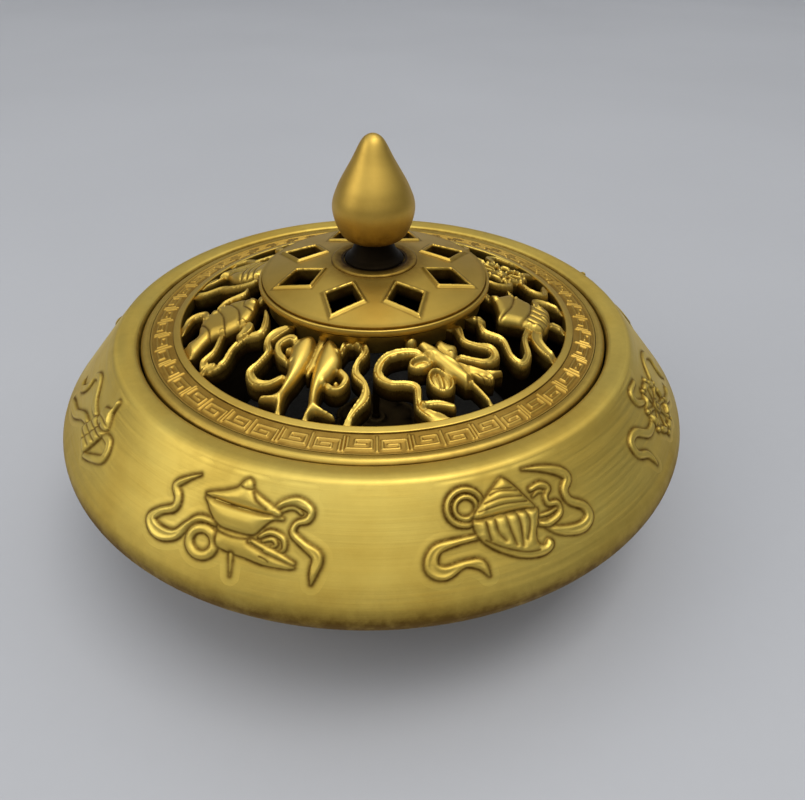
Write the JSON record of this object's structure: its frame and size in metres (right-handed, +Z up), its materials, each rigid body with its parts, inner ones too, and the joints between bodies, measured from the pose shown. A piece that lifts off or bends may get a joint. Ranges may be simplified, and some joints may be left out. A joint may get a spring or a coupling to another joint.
{
  "type": "incense burner",
  "caption": "Round belly-shaped brass incense burner with relief emblems, a pierced lift-off lid, a vented disc and a lotus-bud finial.",
  "frame": {"origin": "centre of the foot ring's underside, on the surface that the burner stands on", "axes": "+Z up through the finial; -Y is the front, between the vase and the conch reliefs"},
  "size_m": [0.1196, 0.1196, 0.0745],
  "materials": {
    "brass": "satin, brushed round the bowl, brown in the recesses",
    "brass_brown": "satin with a brown patina",
    "brass_dark": "nearly black patina",
    "fibre": "charcoal-grey heat-proof felt",
    "steel": "turned"
  },
  "bodies": {
    "bowl_body": {"bowl": "brass", "foot_ring": "brass_brown", "relief_banner": "brass", "relief_vase": "brass", "relief_conch": "brass", "relief_wheel": "brass", "relief_parasol": "brass", "relief_fish": "brass", "relief_lotus": "brass", "relief_knot": "brass", "heat_mat": "fibre", "incense_holder": "brass", "holder_pin": "brass"},
    "lid_body": {"lid_ring": "brass", "fret_ring": "brass_brown", "pierced_roll": "brass", "pierced_fish": "brass", "pierced_banner": "brass", "pierced_canopy": "brass", "pierced_wheel": "brass", "pierced_lotus": "brass", "pierced_knot": "brass", "pierced_conch": "brass", "lid_disc": "brass", "boss_ring": "brass", "finial_neck": "brass_dark", "finial_bud": "brass", "finial_stud": "steel", "finial_washer": "steel", "finial_nut": "steel"}
  },
  "joints": [
    {"name": "lid_lift", "type": "slide", "parent": "bowl_body", "child": "lid_body", "axis": [0, 0, 1], "range_m": [0, 0.06]}
  ]
}
